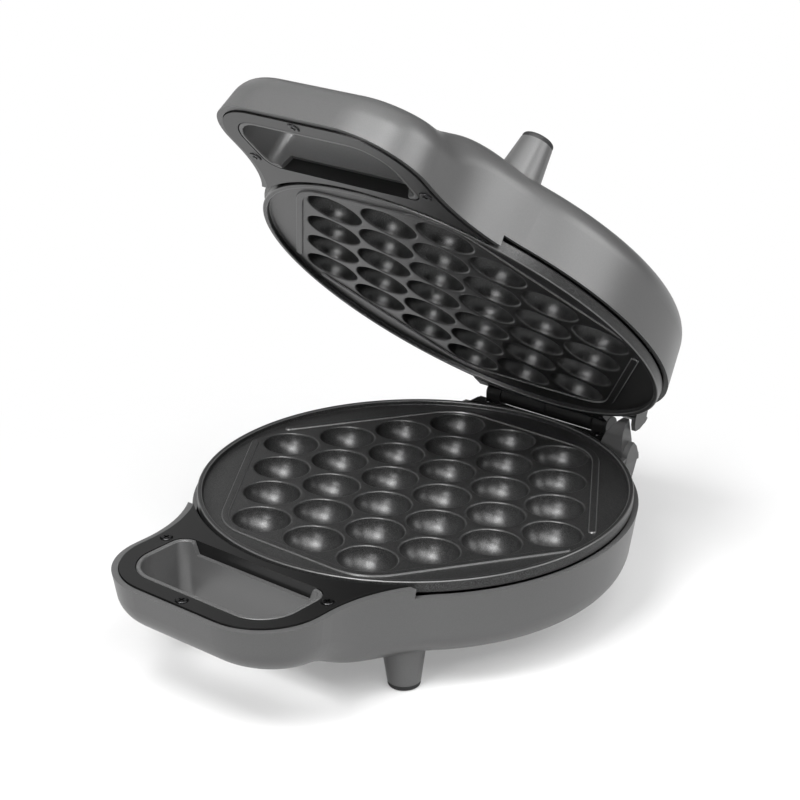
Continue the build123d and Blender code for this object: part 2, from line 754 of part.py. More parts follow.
base_pieces = {
    "base_shell": base_shell.part,
    "base_bezel": bezel_form.part,
    "lower_plate": plate_form.part,
    "base_heating_element": heater_form.part,
    "base_heat_shield": shield_form.part,
    "base_spacers": spacer_form.part,
    "base_plate_bolts": bolt_form.part,
    "base_foot_pads": pad_form.part,
    "base_bezel_screws": bezel_screws_form,
    "base_hinge_bracket": base_bracket.part,
    "base_hinge_screws": hinge_screws_form,
    "hinge_pin": hinge_pin.part,
    "cord_bush": cord_bush.part,
    "terminal_block": terminal_block.part,
    "thermostat": thermostat.part,
}
lid_pieces = {
    "lid_shell": lid_shell_flat.part,
    "lid_bezel": bezel_form.part,
    "upper_plate": plate_form.part,
    "lid_heating_element": heater_form.part,
    "lid_heat_shield": shield_form.part,
    "lid_spacers": spacer_form.part,
    "lid_plate_bolts": bolt_form.part,
    "lid_foot_pads": pad_form.part,
    "lid_bezel_screws": bezel_screws_form,
    "lid_hinge_leaf": lid_leaf_flat.part,
    "lid_hinge_screws": hinge_screws_form,
}
pieces = dict(base_pieces)
for name, piece in lid_pieces.items():
    pieces[name] = as_lid(piece)

# The origin is put in the middle of the whole footprint.
boxes = [piece.bounding_box() for piece in pieces.values()]
front = min(box.min.Y for box in boxes)
back = max(box.max.Y for box in boxes)
to_centre = Location((0, -(front + back) / 2, 0))
print("moved along Y by", round(-(front + back) / 2, 3))

for name, piece in pieces.items():
    placed = piece.moved(to_centre)
    placed.label = name
    export_step(placed, f"parts/{name}.step")
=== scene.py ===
# %% [markdown]
# This notebook dresses a packed bubble waffle maker for a studio picture.
# The real object is two round halves on a hinge, each a painted plastic shell
# with a black bezel and a cast, coated baking plate.  All of it could be modelled
# again in Blender, but the CAD frame already holds the rigid forms at their true
# sizes.  So they stay, and get their surfaces, light and camera here.  Only the
# two plates are drawn anew, because their soft edges are what the eye looks for.

# %% Load the frame and keep its box
import bmesh
import bpy
import json
import math
import numpy as np
from mathutils import Matrix, Vector


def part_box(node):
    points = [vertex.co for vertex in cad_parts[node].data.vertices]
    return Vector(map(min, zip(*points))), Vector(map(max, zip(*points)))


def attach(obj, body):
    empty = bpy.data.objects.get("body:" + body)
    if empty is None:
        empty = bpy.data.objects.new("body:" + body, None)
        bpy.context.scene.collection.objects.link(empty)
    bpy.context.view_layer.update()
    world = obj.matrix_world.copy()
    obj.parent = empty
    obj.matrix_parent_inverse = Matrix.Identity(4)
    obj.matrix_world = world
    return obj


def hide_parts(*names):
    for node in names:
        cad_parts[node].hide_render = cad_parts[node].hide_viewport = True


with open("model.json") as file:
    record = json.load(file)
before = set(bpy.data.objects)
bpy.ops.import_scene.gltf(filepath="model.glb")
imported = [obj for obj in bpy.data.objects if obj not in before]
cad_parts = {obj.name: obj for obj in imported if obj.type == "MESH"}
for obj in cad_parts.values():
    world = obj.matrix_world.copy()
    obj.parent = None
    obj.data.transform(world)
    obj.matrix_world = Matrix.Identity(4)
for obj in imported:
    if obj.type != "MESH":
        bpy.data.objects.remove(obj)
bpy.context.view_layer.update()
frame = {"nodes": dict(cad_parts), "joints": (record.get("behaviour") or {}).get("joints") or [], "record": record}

# %% [markdown]
# Numbers typed by hand would drift away from the model when it changes.  So sizes
# are read from the frame where a CAD node or the joint holds them.  One
# millimetre is the working unit of the shapes, as on a maker's drawing.

# %% Sizes taken from the frame
MM = 0.001
plate_low, plate_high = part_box("lower_plate")
plate_centre_y = 0.5 * (plate_low[1] + plate_high[1])
hinge = frame["joints"][0]
hinge_y, hinge_z = hinge["pos_m"][1], hinge["pos_m"][2]
open_angle = math.radians(-hinge["range_deg"][0])
print("plate centre lies at y =", round(plate_centre_y, 5), "m")
print("the lid is open by", round(math.degrees(open_angle)), "degrees")

# %% [markdown]
# Colours are written as sRGB hex values, the way a paint chart gives them, and
# one function turns them into the linear values that the shaders expect.  A node
# tree could be wired by hand in the editor; one small function that adds a node
# with its settings and links keeps each finish down to a few readable lines.

# %% Colour and node helpers
def colour(hex_code):
    """Linear RGBA of an sRGB hex code, by the standard two-part sRGB curve."""
    values = [int(hex_code[i:i + 2], 16) / 255 for i in (1, 3, 5)]
    linear = [v / 12.92 if v <= 0.04045 else ((v + 0.055) / 1.055) ** 2.4 for v in values]
    return (*linear, 1.0)


def node(tree, kind, settings=None, links=None):
    """Add one shader node, set its properties or sockets, and link its inputs."""
    made = tree.nodes.new(kind)
    for key, value in (settings or {}).items():
        if isinstance(key, int) or key in made.inputs:
            made.inputs[key].default_value = value
        else:
            setattr(made, key, value)
    for key, source in (links or {}).items():
        tree.links.new(source, made.inputs[key])
    return made


def new_material(name):
    """Empty node material with its output node and its coordinates, ready for a finish."""
    material = bpy.data.materials.new(name)
    material.use_nodes = True
    tree = material.node_tree
    tree.nodes.clear()
    output = node(tree, "ShaderNodeOutputMaterial")
    place = node(tree, "ShaderNodeTexCoord")
    return material, tree, output, place


def finish_surface(tree, output, shader):
    """Connect a finished shader to the material's surface."""
    tree.links.new(shader.outputs[0], output.inputs["Surface"])


def mixed_colour(tree, factor, first, second):
    """Colour that runs from the first hex code to the second as the factor rises."""
    mix = node(tree, "ShaderNodeMix", {"data_type": "RGBA"}, {0: factor})
    mix.inputs[6].default_value = colour(first)
    mix.inputs[7].default_value = colour(second)
    return mix.outputs[2]


print("helpers ready; mid grey is", colour("#808080")[0])

# %% [markdown]
# The shells are moulded ABS, sprayed with a satin silver-grey lacquer that holds
# fine metal flake.  It could be built as a metal under a clear coat.  A partly
# metallic base with one soft sheen looks the same at this distance and is simpler
# to tune.  The flake is far smaller than a pixel here, so it is drawn coarser, as
# a half-millimetre mottle that only just moves the tone.  Broad clouds in the
# sheen stand for the uneven pull of a spray gun.

# %% Satin grey paint on moulded ABS
FLAKE_MM = 0.5
RELIEF_MM = 0.1
CLOUDS_PER_METRE = 18.0


def make_shell_paint():
    """Grey lacquer: flake noise moves the tone and a faint bump, cloud noise moves the sheen."""
    material, tree, output, place = new_material("sprayed_satin_silver_abs")
    flake = node(tree, "ShaderNodeTexNoise", {"Scale": 1 / (FLAKE_MM * MM), "Detail": 1.0},
                 {"Vector": place.outputs["Object"]})
    cloud = node(tree, "ShaderNodeTexNoise", {"Scale": CLOUDS_PER_METRE, "Detail": 2.0},
                 {"Vector": place.outputs["Object"]})
    tone = mixed_colour(tree, flake.outputs["Fac"], "#545454", "#5e5e5e")
    rough = node(tree, "ShaderNodeMapRange",
                 {"From Min": 0.3, "From Max": 0.7, "To Min": 0.34, "To Max": 0.40},
                 {"Value": cloud.outputs["Fac"]})
    bump = node(tree, "ShaderNodeBump", {"Strength": 0.03, "Distance": RELIEF_MM * MM},
                {"Height": flake.outputs["Fac"]})
    shader = node(tree, "ShaderNodeBsdfPrincipled", {"Metallic": 0.35, "IOR": 1.5},
                  {"Base Color": tone, "Roughness": rough.outputs[0],
                   "Normal": bump.outputs[0]})
    finish_surface(tree, output, shader)
    return material


shell_paint = make_shell_paint()
print("made", shell_paint.name)

# %% [markdown]
# Bezels and hinge brackets are black glass-filled nylon, moulded against a
# spark-eroded tool.  The fine grain of that tool scatters the light, which
# turns the black into a soft dark grey where a lamp strikes it.  Real geometry
# for such a grain would cost millions of faces, so noise drives a bump instead.

# %% Spark-grained black nylon
GRAIN_MM = 0.6


def make_black_nylon():
    """Black moulding: one grain noise moves the tone a little and gives the bump."""
    material, tree, output, place = new_material("moulded_black_nylon")
    grain = node(tree, "ShaderNodeTexNoise", {"Scale": 1 / (GRAIN_MM * MM), "Detail": 2.0},
                 {"Vector": place.outputs["Object"]})
    tone = mixed_colour(tree, grain.outputs["Fac"], "#0a0a0a", "#111111")
    bump = node(tree, "ShaderNodeBump", {"Strength": 0.12, "Distance": RELIEF_MM * MM},
                {"Height": grain.outputs["Fac"]})
    shader = node(tree, "ShaderNodeBsdfPrincipled", {"Roughness": 0.36, "IOR": 1.45},
                  {"Base Color": tone, "Normal": bump.outputs[0]})
    finish_surface(tree, output, shader)
    return material


black_nylon = make_black_nylon()
print("made", black_nylon.name)

# %% [markdown]
# The plates are die-cast aluminium, sprayed with a charcoal PTFE coating that
# carries fine metal flakes.  Baked on, it stays satin: the flakes stay dark where
# nothing bright is mirrored, and glitter as a grain wherever a lamp is.  On the
# crests of mouths, beads and lip a painted highlight runs the tone to bright metal,
# as a fine bright line.  Two layered shaders could show binder and flake; one shader
# whose metallic value follows the flake noise does the same and bakes cleanly.
# The flakes are drawn coarser than life so that they show.

# %% Baked non-stick coating on cast aluminium
SPECKLE_MM = 0.30
COATING_RELIEF_MM = 0.12
# Bright metal grey of the painted highlight on the crests.
HIGHLIGHT_METAL = "#8c8c8c"


def make_coating():
    """Black binder with metal flakes.  An attribute marks the crests, where a painted
    highlight runs the tone and the metallic value up to bright metal."""
    material, tree, output, place = new_material("sprayed_ptfe_on_cast_aluminium")
    fine = node(tree, "ShaderNodeTexNoise",
                {"Scale": 1 / (SPECKLE_MM * MM), "Detail": 2.0, "Roughness": 0.6},
                {"Vector": place.outputs["Object"]})
    # This attribute carries the painted highlight on the crests: it raises the metallic value and runs the tone to
    # bright metal grey.
    painted_highlight = node(tree, "ShaderNodeAttribute", {"attribute_name": "painted_highlight"})
    flake = node(tree, "ShaderNodeMapRange",
                 {"From Min": 0.44, "From Max": 0.66, "To Min": 0.0, "To Max": 0.85},
                 {"Value": fine.outputs["Fac"]})
    # Metallic is the larger of the flake share and the painted highlight share.
    flake_and_highlight_metal = node(tree, "ShaderNodeMath", {"operation": "MAXIMUM"},
                {0: flake.outputs[0], 1: painted_highlight.outputs["Fac"]})
    flaked = mixed_colour(tree, flake.outputs[0], "#0b0b0b", "#5c5c5c")
    tone = node(tree, "ShaderNodeMix", {"data_type": "RGBA", 7: colour(HIGHLIGHT_METAL)},
                {0: painted_highlight.outputs["Fac"], 6: flaked}).outputs[2]
    rough = node(tree, "ShaderNodeMapRange",
                 {"From Min": 0.35, "From Max": 0.65, "To Min": 0.31, "To Max": 0.37},
                 {"Value": fine.outputs["Fac"]})
    bump = node(tree, "ShaderNodeBump", {"Strength": 0.12, "Distance": COATING_RELIEF_MM * MM},
                {"Height": fine.outputs["Fac"]})
    shader = node(tree, "ShaderNodeBsdfPrincipled", {"IOR": 1.4},
                  {"Base Color": tone, "Metallic": flake_and_highlight_metal.outputs[0],
                   "Roughness": rough.outputs[0], "Normal": bump.outputs[0]})
    finish_surface(tree, output, shader)
    return material


coating = make_coating()
print("made", coating.name)

# %% [markdown]
# The small parts are blackened screws, black silicone pads, a heat-dulled steel
# heating tube, a rolled aluminium tray, unglazed steatite and off-white nylon.
# Each could have its own pattern, but they are small or hidden, so one function
# gives them all a fine two-tone grain, and the numbers tell them apart.

# %% Small-part finishes
def make_plain(name, low, high, grain_mm, rough_value, metallic, strength):
    """Fine two-tone grain with a matching bump, for small moulded or metal parts."""
    material, tree, output, place = new_material(name)
    grain = node(tree, "ShaderNodeTexNoise", {"Scale": 1 / (grain_mm * MM), "Detail": 2.0},
                 {"Vector": place.outputs["Object"]})
    tone = mixed_colour(tree, grain.outputs["Fac"], low, high)
    bump = node(tree, "ShaderNodeBump", {"Strength": strength, "Distance": RELIEF_MM * MM},
                {"Height": grain.outputs["Fac"]})
    shader = node(tree, "ShaderNodeBsdfPrincipled",
                  {"Roughness": rough_value, "Metallic": metallic},
                  {"Base Color": tone, "Normal": bump.outputs[0]})
    finish_surface(tree, output, shader)
    return material


black_oxide = make_plain("blackened_steel", "#2e2e2f", "#474748", 1.2, 0.34, 1.0, 0.1)
silicone = make_plain("moulded_black_silicone", "#0e0e0f", "#1a1a1b", 1.0, 0.7, 0.0, 0.2)
sheath = make_plain("heat_dulled_stainless", "#4d4640", "#6b625a", 2.0, 0.45, 1.0, 0.2)
tray = make_plain("rolled_aluminium", "#a5a6a8", "#bcbdbf", 3.0, 0.35, 1.0, 0.1)
steatite = make_plain("unglazed_steatite", "#cfc8b8", "#ddd7ca", 1.0, 0.8, 0.0, 0.2)
ivory_nylon = make_plain("off_white_nylon", "#c9c6bd", "#dcd9d1", 1.0, 0.5, 0.0, 0.1)
print("made six small-part finishes")

# %% [markdown]
# The record names a material slot for every CAD node.  Assigning by hand would
# miss a node sooner or later, so the slot's name picks the finish.

# %% Dress every CAD node by its slot
finishes = {
    "shell_grey": shell_paint, "black_plastic": black_nylon, "nonstick": coating,
    "element_steel": sheath, "shield_aluminium": tray, "steatite": steatite,
    "screw_steel": black_oxide, "foot_rubber": silicone, "white_plastic": ivory_nylon,
}
slot_of = {entry["node"]: entry["material_slot"] for entry in frame["record"]["subparts"]}
for name, thing in frame["nodes"].items():
    if not thing.material_slots:
        thing.data.materials.append(None)
    for slot in thing.material_slots:
        slot.material = finishes[slot_of[name]]
print("dressed", len(slot_of), "CAD nodes")

# %% [markdown]
# The baking plates are the showpiece.  Each is a casting with thirty oval
# pockets in staggered rows, a soft radius round every mouth, low beads that
# frame the field, and a raised lip at the edge.  Bevels on the CAD mesh would
# tear at its loose triangles, so each plate is drawn anew as smooth surfaces.
# The field is divided like a honeycomb: one cell holds one pocket, and
# neighbouring cells share their border points, so thirty copies of one cell
# close into one skin.

# %% Plate sizes in millimetres
plate_radius = (plate_high[0] - plate_low[0]) / 2 / MM
lip_height = 2.5
field_height = plate_high[2] / MM - lip_height
closed_height = 120.0
pocket_pitch = 32.0
row_pitch = 23.84
row_counts = [3, 4, 5, 6, 5, 4, 3]
middle_row = 3
pocket_half = np.array([14.2, 12.35])
pocket_depth_radius = 12.35
pocket_rise = 0.6
mouth_radius = 0.9
web_depth = 6.0
metal = 2.6
pocket_centres = np.array([((i - (count - 1) / 2) * pocket_pitch, (row - middle_row) * row_pitch)
                           for row, count in enumerate(row_counts) for i in range(count)])
print(len(pocket_centres), "pockets, field at z =", round(field_height, 2), "mm")

# %% [markdown]
# Every surface below is a grid of points, worked out as whole arrays, and a list
# of four-sided faces between them.  Modifiers could turn simple meshes into the
# same forms, but a formula says exactly where each point lies.

# %% Tools for surfaces made of grids
SHARP_DEGREES = 40.0
MERGE_METRES = 2e-6
NO_LENGTH_METRES = 1e-7


def grid_faces(rows, columns, wrap):
    """Quads of a rows by columns point grid, closed in the column direction if wrap is true.
    Their outer side is to the right of the way the rows run, seen with columns going up."""
    steps = columns if wrap else columns - 1
    r, c = np.meshgrid(np.arange(rows - 1), np.arange(steps), indexing="ij")
    after = (c + 1) % columns
    quads = np.stack([r * columns + c, r * columns + after,
                      (r + 1) * columns + after, (r + 1) * columns + c], -1)
    return quads.reshape(-1, 4)


def joined(parts):
    """One point list and one quad list from several (points, quads) pairs."""
    sizes = np.cumsum([0] + [len(points) for points, _ in parts])
    quads = [part[1] + first for part, first in zip(parts, sizes)]
    return np.concatenate([part[0] for part in parts]), np.concatenate(quads)


def make_object(name, points_mm, quads, material):
    """Object from points in millimetres and quads: doubled points merged, smooth shading
    with sharp real edges."""
    mesh = bpy.data.meshes.new(name)
    mesh.from_pydata((np.asarray(points_mm) * MM).tolist(), [], np.asarray(quads).tolist())
    work = bmesh.new()
    work.from_mesh(mesh)
    bmesh.ops.remove_doubles(work, verts=work.verts, dist=MERGE_METRES)
    bmesh.ops.dissolve_degenerate(work, dist=NO_LENGTH_METRES, edges=work.edges)
    work.to_mesh(mesh)
    work.free()
    mesh.materials.append(material)
    mesh.shade_smooth()
    mesh.set_sharp_from_angle(angle=math.radians(SHARP_DEGREES))
    thing = bpy.data.objects.new(name, mesh)
    bpy.context.scene.collection.objects.link(thing)
    return thing


def mesh_points(thing):
    """Points of an object's mesh in metres, read as one array."""
    values = np.empty(len(thing.data.vertices) * 3, np.float32)
    thing.data.vertices.foreach_get("co", values)
    return values.astype(float).reshape(-1, 3)


def revolved(profile, steps, centre=(0.0, 0.0)):
    """Surface of revolution: point(i, a) = (r_i cos a + cx, r_i sin a + cy, z_i) for profile
    rows (r_i, z_i).  The outer side is to the right of the profile's way, seen with the
    radius to the right and z up."""
    profile = np.asarray(profile, float)
    turn = np.linspace(0, 2 * math.pi, steps, endpoint=False)
    x = profile[:, :1] * np.cos(turn) + centre[0]
    y = profile[:, :1] * np.sin(turn) + centre[1]
    z = np.repeat(profile[:, 1:], steps, axis=1)
    return np.stack([x, y, z], -1).reshape(-1, 3), grid_faces(len(profile), steps, True)


print("surface tools ready")

# %% [markdown]
# One cell is a fan of rays from the pocket's middle to the cell's border.  Along
# each ray the upper side runs down the ellipsoid wall, over the soft mouth and
# along the level web.  The underside is the ellipsoid grown by the metal.  A
# boolean cut would leave long thin faces at the mouth, which catch the light
# badly; the fan keeps them even.

# %% One honeycomb cell
EDGE_STEPS = [8, 12, 12, 8, 12, 12]
WALL_STEPS = 14
MOUTH_STEPS = 7
UNDERSIDE_STEPS = 8


def cell_border():
    """Border points of a honeycomb cell, evenly spaced on each of its six edges,
    counter-clockwise.  The corners are the points at equal distance from three pockets."""
    half = pocket_pitch / 2
    high = (half ** 2 + row_pitch ** 2) / (2 * row_pitch)
    low = row_pitch - high
    corners = np.array([(half, -low), (half, low), (0, high),
                        (-half, low), (-half, -low), (0, -high)])
    pieces = []
    for k, count in enumerate(EDGE_STEPS):
        share = np.arange(count)[:, None] / count
        pieces.append(corners[k] * (1 - share) + corners[(k + 1) % 6] * share)
    return np.concatenate(pieces)


def cell_top():
    """Upper side of a cell.  Pocket: (a sin s cos t, b sin s sin t, rise - c cos s), with s
    from 0 to the mouth.  Mouth: an arc of the mouth radius, tangent to wall and web.  Web:
    straight to the border."""
    border = cell_border()
    a, b = pocket_half
    t = np.arctan2(a * border[:, 1], b * border[:, 0])
    wall = np.stack([np.cos(t), np.sin(t)], -1)
    out = np.stack([b * np.cos(t), a * np.sin(t)], -1)
    out /= np.linalg.norm(out, axis=1, keepdims=True)
    lean = math.acos((pocket_rise + mouth_radius) / (pocket_depth_radius + mouth_radius))
    s = np.linspace(0.0, lean, WALL_STEPS)[:, None, None]
    flat = wall[None] * pocket_half * np.sin(s)
    drop = np.broadcast_to(pocket_rise - pocket_depth_radius * np.cos(s), flat[..., :1].shape)
    pocket = np.concatenate([flat, drop], -1)
    turn = np.linspace(lean, 0.0, MOUTH_STEPS)[1:, None, None]
    over = flat[-1][None] + out[None] * mouth_radius * (math.sin(lean) - np.sin(turn))
    rise = np.broadcast_to(mouth_radius * (np.cos(turn) - 1), over[..., :1].shape)
    mouth = np.concatenate([over, rise], -1)
    share = np.array([0.5, 1.0])[:, None, None]
    level = over[-1][None] * (1 - share) + border[None] * share
    web = np.concatenate([level, np.zeros_like(level[..., :1])], -1)
    rows = np.concatenate([pocket, mouth, web])
    return rows.reshape(-1, 3), grid_faces(len(rows), len(border), True)[:, ::-1]


def cell_bottom():
    """Underside of a cell: whichever is lower, the level web or the pocket's ellipsoid grown
    by the metal."""
    border = cell_border()
    share = np.linspace(0.0, 1.0, UNDERSIDE_STEPS)[:, None, None]
    flat = (border[None] * share).reshape(-1, 2)
    reach = 1 - ((flat / (pocket_half + metal)) ** 2).sum(1)
    dome = -(pocket_depth_radius + metal) * np.sqrt(np.clip(reach, 0, None))
    points = np.column_stack([flat, np.minimum(-web_depth, dome)])
    return points, grid_faces(UNDERSIDE_STEPS, len(border), True)


top_points, top_quads = cell_top()
bottom_points, bottom_quads = cell_bottom()
print("one cell has", len(top_quads), "quads above and", len(bottom_quads), "below")

# %% [markdown]
# Round the honeycomb the casting is level up to its lip.  The lip's profile is
# carried round the edge: a small foot radius, a rounded crest, the outer band,
# and the step back to the underside.  A plain turned rim would leave a gap to
# the toothed border of the honeycomb, so the ring starts from that border.

# %% Field edge, lip and band of the plate
lip_width = 2.4
foot_radius = 0.7
crest_radius = 0.6
band_low = -2.8
band_chamfer = 0.4
seat_width = 4.0


def field_border(centres):
    """Outer border of all cells: the start points of the border edges that no second cell
    shares, in the order of their polar angle."""
    border = cell_border()
    start = (centres[:, None] + border[None]).reshape(-1, 2)
    end = (centres[:, None] + np.roll(border, -1, axis=0)[None]).reshape(-1, 2)
    middle = np.round((start + end) / 2, 3) + 0.0
    _, index, count = np.unique(middle, axis=0, return_inverse=True, return_counts=True)
    lone = start[count[index.reshape(-1)] == 1]
    return lone[np.argsort(np.arctan2(lone[:, 1], lone[:, 0]))]


def lip_profile():
    """Rows (radius, height) from the level field over the lip and band to the underside:
    quarter arcs (r - f + f sin a, f - f cos a) at the foot, and at the crest
    (r + c - c cos a, h - c + c sin a) and its mirror image."""
    inner = plate_radius - lip_width
    f, c, h = foot_radius, crest_radius, lip_height
    a = np.linspace(0, math.pi / 2, 6)
    foot = np.column_stack([inner - f + f * np.sin(a), f - f * np.cos(a)])
    rising = np.column_stack([inner + c - c * np.cos(a), h - c + c * np.sin(a)])
    falling = np.column_stack([plate_radius - c + c * np.sin(a), h - c + c * np.cos(a)])
    band = np.array([(plate_radius, band_low + band_chamfer),
                     (plate_radius - band_chamfer, band_low),
                     (plate_radius - seat_width, band_low),
                     (plate_radius - seat_width, -web_depth)])
    return np.concatenate([foot, rising, falling, band])


def edge_ring(border, profile):
    """Ring from the honeycomb's border out to the profile's first circle, round the profile,
    and back under to the border.  Each column keeps the polar angle of its border point."""
    angle = np.arctan2(border[:, 1], border[:, 0])
    ray = np.stack([np.cos(angle), np.sin(angle)], -1)
    share = np.array([0.0, 0.33, 0.66])[:, None, None]
    level = border[None] * (1 - share) + (ray * profile[0, 0])[None] * share
    level = np.concatenate([level, np.zeros_like(level[..., :1])], -1)
    around = ray[None] * profile[:, 0][:, None, None]
    height = np.broadcast_to(profile[:, 1][:, None, None], around[..., :1].shape)
    around = np.concatenate([around, height], -1)
    under = np.column_stack([border, np.full(len(border), -web_depth)])[None]
    rows = np.concatenate([level, around, under])
    return rows.reshape(-1, 3), grid_faces(len(rows), len(border), True)[:, ::-1]


border_points = field_border(pocket_centres)
print("the field border has", len(border_points), "points")

# %% [markdown]
# Under the web are the cast channel that holds the heating tube, the seat of the
# thermostat and four bolt bosses.  They are plain turned forms, so a profile and
# a full turn make each one.  Where one would show inside a pocket, it is lowered
# until the pocket's own wall covers it, as in the real casting.

# %% Underside of the plate
cover_thickness = 1.3
boss_top = -5.0
channel_radius = 55.0
channel_half_width = 6.5
channel_bottom = -18.3
groove_radius = 3.32
seat_radius, seat_bottom = 8.5, -14.0
bolt_boss_radius, bolt_boss_bottom = 4.6, -24.7
bolt_x, bolt_y = 71.0, 42.0


def below_pockets(points):
    """Lower each point that would stand inside a pocket to the cover's thickness under the
    pocket's ellipsoid there."""
    apart = (points[:, None, :2] - pocket_centres[None]) / pocket_half
    inside = np.sqrt(np.clip(1 - (apart ** 2).sum(-1), 0, None))
    wall = pocket_rise - pocket_depth_radius * inside - cover_thickness
    lowest = np.where(inside > 0, wall, 0.0).min(1)
    return np.column_stack([points[:, :2], np.minimum(points[:, 2], lowest)])


def underside_parts():
    """Revolved bosses under the web; the channel's groove is the arc (R + r cos a,
    z + r sin a) at the channel's radius R."""
    a = np.linspace(math.pi, 0, 13)
    groove = np.column_stack([channel_radius + groove_radius * np.cos(a),
                              channel_bottom + groove_radius * np.sin(a)])
    inner, outer = channel_radius - channel_half_width, channel_radius + channel_half_width
    channel = np.concatenate([[(inner, boss_top), (inner, channel_bottom)], groove,
                              [(outer, channel_bottom), (outer, boss_top)]])
    seat = [(0.0, seat_bottom), (seat_radius, seat_bottom), (seat_radius, boss_top)]
    boss = [(0.0, bolt_boss_bottom), (bolt_boss_radius, bolt_boss_bottom),
            (bolt_boss_radius, boss_top)]
    parts = [revolved(channel, 288), revolved(seat, 72)]
    for x in (-bolt_x, bolt_x):
        for y in (-bolt_y, bolt_y):
            parts.append(revolved(boss, 24, (x, y)))
    return [(below_pockets(points), quads) for points, quads in parts]


print("the underside has", len(underside_parts()), "turned forms")

# %% [markdown]
# Two cast beads frame the field, one in front and one behind, with a gap at each
# side.  Each is a low flat-topped ridge four millimetres wide with round ends, so
# the light draws two thin parallel lines along it.  A bevelled curve would be
# quicker, but it sinks a round tube into the plate instead of standing on it.

# %% Framing beads on the field
bead_half_width, bead_height, bead_shoulder, bead_sink = 2.0, 0.8, 0.6, 0.05
corner_reach, path_step = 15.0, 1.5
TIP_STEPS = 7
ACROSS_STEPS = 19


def rounded_path(corners, reach, step):
    """Open path through the corners.  Each inner corner becomes the curve
    A (1-u)^2 + 2 C u (1-u) + B u^2, which starts and ends the given reach before and
    after it."""
    corners = np.asarray(corners, float)
    pieces = [corners[:1]]
    u = np.linspace(0, 1, 16)[:, None]
    for before, here, after in zip(corners[:-2], corners[1:-1], corners[2:]):
        start = here + (before - here) / np.linalg.norm(before - here) * reach
        end = here + (after - here) / np.linalg.norm(after - here) * reach
        pieces.append(start * (1 - u) ** 2 + 2 * here * u * (1 - u) + end * u ** 2)
    pieces.append(corners[-1:])
    points = np.concatenate(pieces)
    runs = np.linalg.norm(np.diff(points, axis=0), axis=1)
    length = np.concatenate([[0], np.cumsum(runs)])
    places = np.linspace(0, length[-1], int(length[-1] / step))
    return np.column_stack([np.interp(places, length, points[:, 0]),
                            np.interp(places, length, points[:, 1])])


def bead(corners):
    """Flat-topped ridge along a path.  A point at distance d from the middle line has the
    height h (1 + cos(pi q)) / 2, where q runs from 0 to 1 over the shoulder; round each end
    d is the distance from the path's last point."""
    half = bead_half_width
    path = rounded_path(corners, corner_reach, path_step)
    along = np.gradient(path, axis=0)
    along /= np.linalg.norm(along, axis=1, keepdims=True)
    tips = half * (1 - np.sin(np.linspace(0, math.pi / 2, TIP_STEPS + 1)[:-1]))
    spine = np.concatenate([path[0] - along[0] * tips[:, None], path,
                            path[-1] + along[-1] * tips[::-1, None]])
    along = np.concatenate([np.repeat(along[:1], TIP_STEPS, 0), along,
                            np.repeat(along[-1:], TIP_STEPS, 0)])
    side = np.stack([-along[:, 1], along[:, 0]], -1)
    away = np.concatenate([tips, np.zeros(len(path)), tips[::-1]])[:, None]
    wide = np.sqrt(np.clip(half ** 2 - away ** 2, 0, None))
    across = wide * np.sin(np.linspace(-math.pi / 2, math.pi / 2, ACROSS_STEPS))[None]
    flat = spine[:, None] + side[:, None] * across[..., None]
    outer = np.hypot(across, away) - (half - bead_shoulder)
    fall = np.clip(outer / bead_shoulder, 0, 1)
    z = (bead_height + bead_sink) * (1 + np.cos(math.pi * fall)) / 2 - bead_sink
    points = np.concatenate([flat, z[..., None]], -1).reshape(-1, 3)
    return points, grid_faces(len(spine), ACROSS_STEPS, False)[:, ::-1]


bead_paths = [[(-95.0, -9.8), (-42.7, -87.3), (42.7, -87.3), (95.0, -9.8)],
              [(93.1, 12.6), (42.7, 87.3), (-42.7, 87.3), (-93.1, 12.6)]]
print("beads of", [len(bead(path)[0]) for path in bead_paths], "points")

# %% [markdown]
# Both plates are the same casting.  A linked copy turned by its object would be
# the usual way, but a finished piece keeps its place in its mesh here.  So the
# upper one's points are turned half a turn about the line from front to back,
# lifted to the closed place, and then opened about the hinge as the lid is.

# %% Places of both plates
def plate_surface():
    """All surfaces of one plate about its own centre, with heights counted from the field."""
    shifts = [np.array((x, y, 0.0)) for x, y in pocket_centres]
    cells = [(points + shift, quads) for shift in shifts
             for points, quads in ((top_points, top_quads), (bottom_points, bottom_quads))]
    beads = [bead(path) for path in bead_paths]
    return joined(cells + [edge_ring(border_points, lip_profile())] + underside_parts() + beads)


def on_the_lid(points):
    """Half turn (x, y, z) -> (-x, y, closed height - z), then a turn about the hinge line by
    the open angle: y = hy + dy cos A + dz sin A and z = hz - dy sin A + dz cos A."""
    y0, z0 = hinge_y / MM, hinge_z / MM
    dy, dz = points[:, 1] - y0, closed_height - points[:, 2] - z0
    c, s = math.cos(open_angle), math.sin(open_angle)
    return np.column_stack([-points[:, 0], y0 + dy * c + dz * s, z0 - dy * s + dz * c])


plate_points, plate_quads = plate_surface()
plate_points = plate_points + (0, plate_centre_y / MM, field_height)
print("one plate has", len(plate_points), "points before its cells are merged")

# %% [markdown]
# The crests get a painted highlight, a share of bright metal in the coating.  It could
# be painted by hand; here each point's radius and height say whether it lies on a mouth,
# a bead or the lip, and an attribute carries that share of painted highlight to the coating.

# %% Painted highlights on the crests
lip_zone = 3.1
crest_depth = 0.45
level_margin = 0.01
bead_side_low, bead_side_high = 0.15, 0.75
# Shares of painted highlight: a little on mouth arcs, more on bead and lip crests.
mouth_highlight_share, crest_line_highlight_share = 0.08, 0.4


